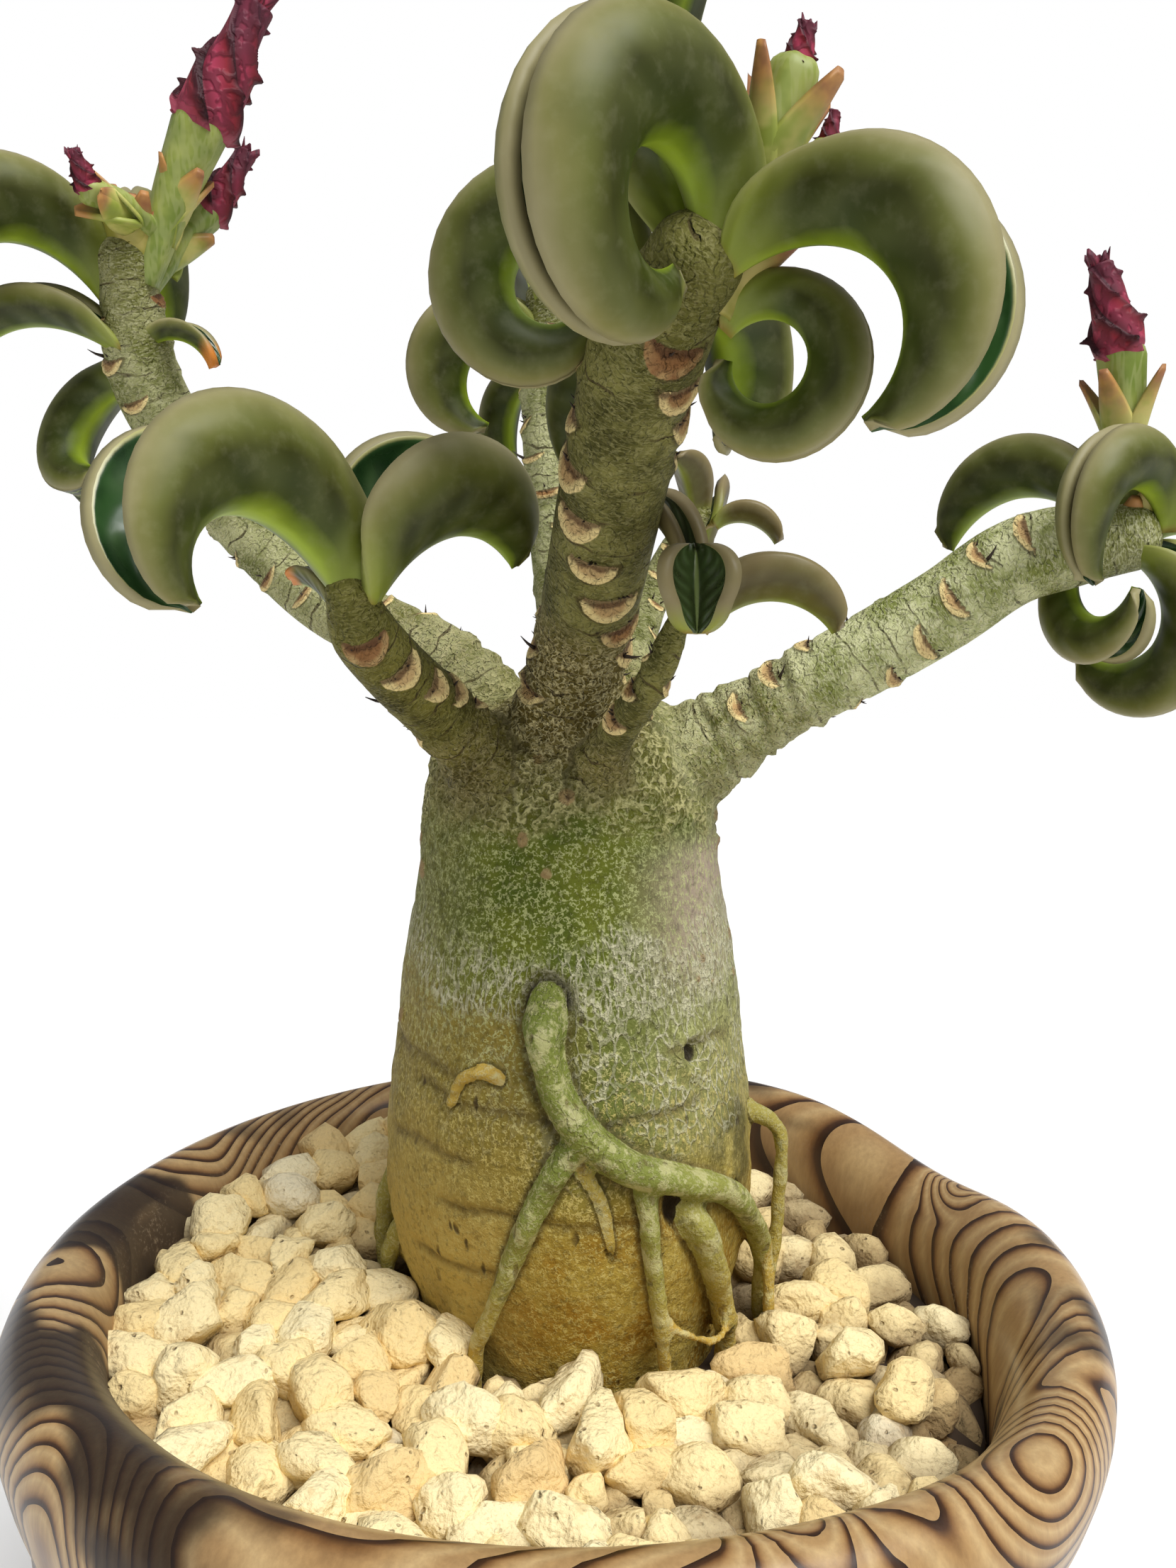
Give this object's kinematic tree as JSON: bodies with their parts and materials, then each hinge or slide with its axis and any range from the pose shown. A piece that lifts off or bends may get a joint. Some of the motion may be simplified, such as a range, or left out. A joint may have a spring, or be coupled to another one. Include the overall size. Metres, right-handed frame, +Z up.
{
  "type": "potted desert rose plant",
  "caption": "Desert rose with a swollen stem, aerial roots, curled thick leaves and red buds, in gravel in a turned wood pot.",
  "frame": {"origin": "centre of the pot's flat base, on the surface that it stands on", "axes": "+Z up the plant, -Y to the front that the picture shows, +X to its right"},
  "size_m": [0.2006, 0.158, 0.2819],
  "materials": {
    "wood": "satin lacquer over strong dark figure",
    "pale_stone": "matte porous stone",
    "bark": "matte, finely netted green skin",
    "leaf": "soft satin, waxy",
    "calyx": "soft satin",
    "petal": "soft velvet matte"
  },
  "bodies": {
    "root": {"pot": "wood", "gravel": "pale_stone", "stem_and_branches": "bark", "front_leaf_1": "leaf", "front_leaf_2": "leaf", "front_leaf_3": "leaf", "centre_leaf_1": "leaf", "centre_leaf_2": "leaf", "centre_leaf_3": "leaf", "centre_leaf_4": "leaf", "centre_leaf_5": "leaf", "centre_leaf_6": "leaf", "centre_leaf_7": "leaf", "right_leaf_1": "leaf", "right_leaf_2": "leaf", "right_leaf_3": "leaf", "right_leaf_4": "leaf", "right_leaf_5": "leaf", "left_leaf_1": "leaf", "left_leaf_2": "leaf", "left_leaf_3": "leaf", "left_leaf_4": "leaf", "left_leaf_5": "leaf", "back_leaf_1": "leaf", "back_leaf_2": "leaf", "back_leaf_3": "leaf", "back_leaf_4": "leaf", "back_leaf_5": "leaf", "shoot_leaf_1": "leaf", "shoot_leaf_2": "leaf", "shoot_leaf_3": "leaf", "rear_leaf_1": "leaf", "rear_leaf_2": "leaf", "rear_leaf_3": "leaf", "left_buds": "calyx", "left_petals_1": "petal", "left_petals_2": "petal", "left_petals_3": "petal", "centre_buds": "calyx", "centre_petals_1": "petal", "centre_petals_2": "petal", "right_buds": "calyx", "right_petals_1": "petal"}
  },
  "joints": []
}
